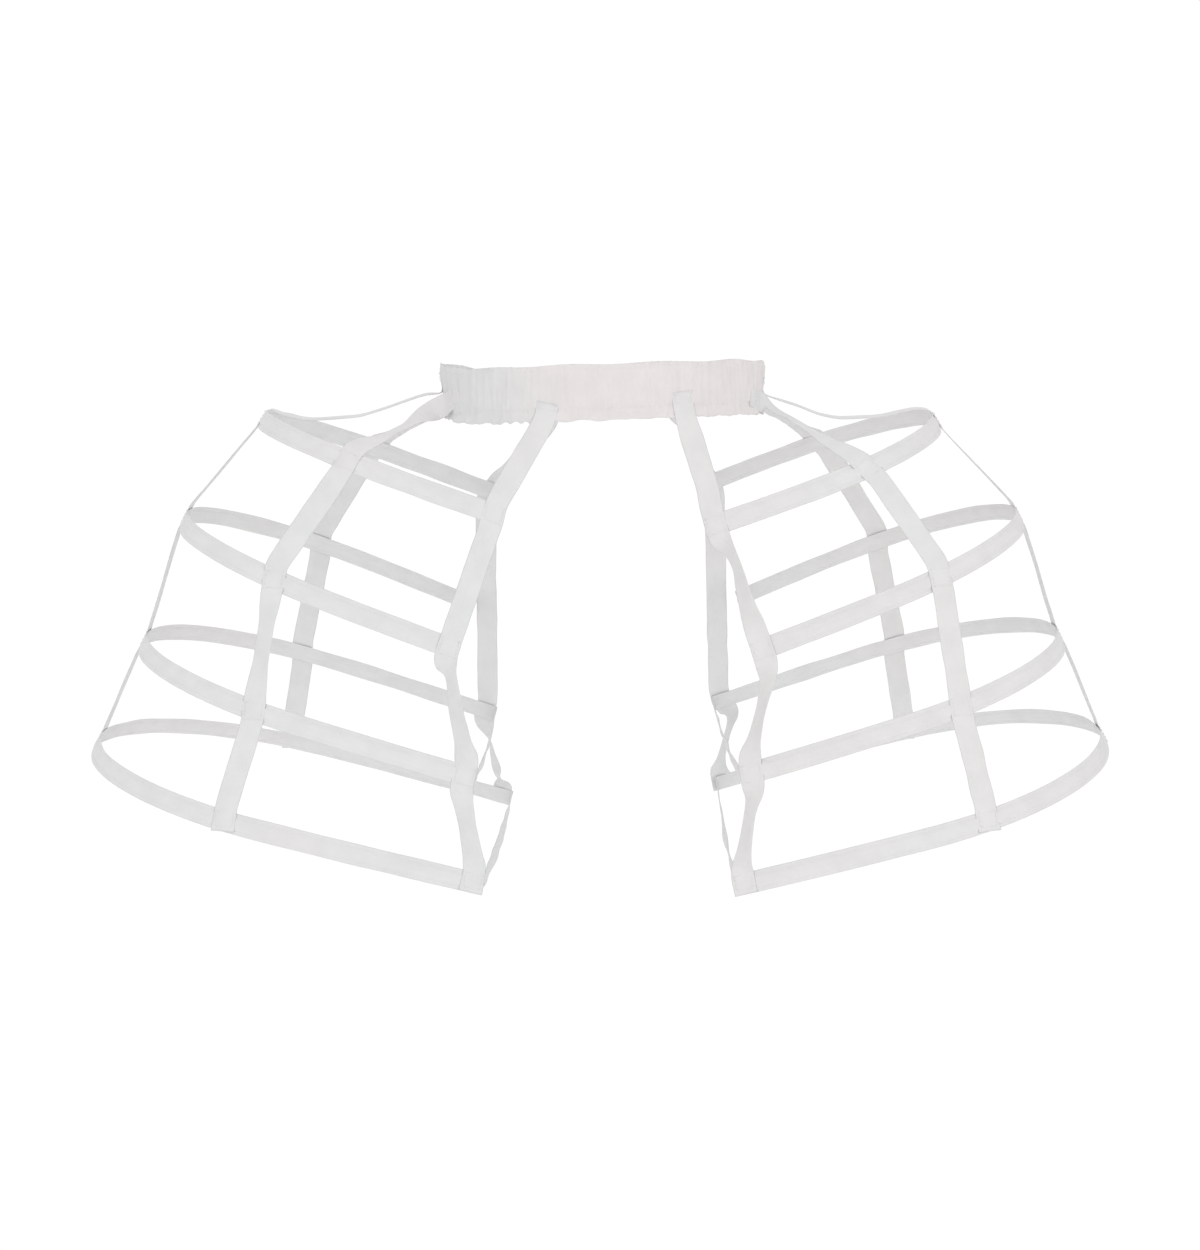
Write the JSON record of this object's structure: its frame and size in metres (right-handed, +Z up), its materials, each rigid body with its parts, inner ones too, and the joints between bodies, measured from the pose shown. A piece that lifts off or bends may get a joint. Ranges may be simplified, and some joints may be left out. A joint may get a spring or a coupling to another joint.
{
  "type": "crinoline cage",
  "caption": "White side-hoop crinoline cage: gathered elastic waistband carrying, on each hip, a tiered cage of D-shaped boned tape hoops hung from vertical tapes, worn under a skirt.",
  "frame": {"origin": "centre of the waistband ring", "axes": "+Z up along the wearer's body, +X to the right of the picture along the width over both cages, -Y to the front"},
  "size_m": [0.8252, 0.3427, 0.3996],
  "materials": {
    "waistband_cloth": "gathered matt cotton",
    "casing_tape": "matt woven cotton tape",
    "hanging_tape": "matt woven cotton tape",
    "elastic": "braided elastic",
    "bone": "flat plastic boning"
  },
  "bodies": {
    "root": {"waistband": "waistband_cloth", "waist_elastic": "elastic", "left_hoop_1_casing": "casing_tape", "left_hoop_2_casing": "casing_tape", "left_hoop_3_casing": "casing_tape", "left_hoop_4_casing": "casing_tape", "right_hoop_1_casing": "casing_tape", "right_hoop_2_casing": "casing_tape", "right_hoop_3_casing": "casing_tape", "right_hoop_4_casing": "casing_tape", "left_hoop_1_bone": "bone", "left_hoop_2_bone": "bone", "left_hoop_3_bone": "bone", "left_hoop_4_bone": "bone", "right_hoop_1_bone": "bone", "right_hoop_2_bone": "bone", "right_hoop_3_bone": "bone", "right_hoop_4_bone": "bone", "left_front_inner_tape": "hanging_tape", "left_front_outer_tape": "hanging_tape", "left_side_tape": "hanging_tape", "left_back_outer_tape": "hanging_tape", "left_back_inner_tape": "hanging_tape", "right_front_inner_tape": "hanging_tape", "right_front_outer_tape": "hanging_tape", "right_side_tape": "hanging_tape", "right_back_outer_tape": "hanging_tape", "right_back_inner_tape": "hanging_tape"}
  },
  "joints": []
}
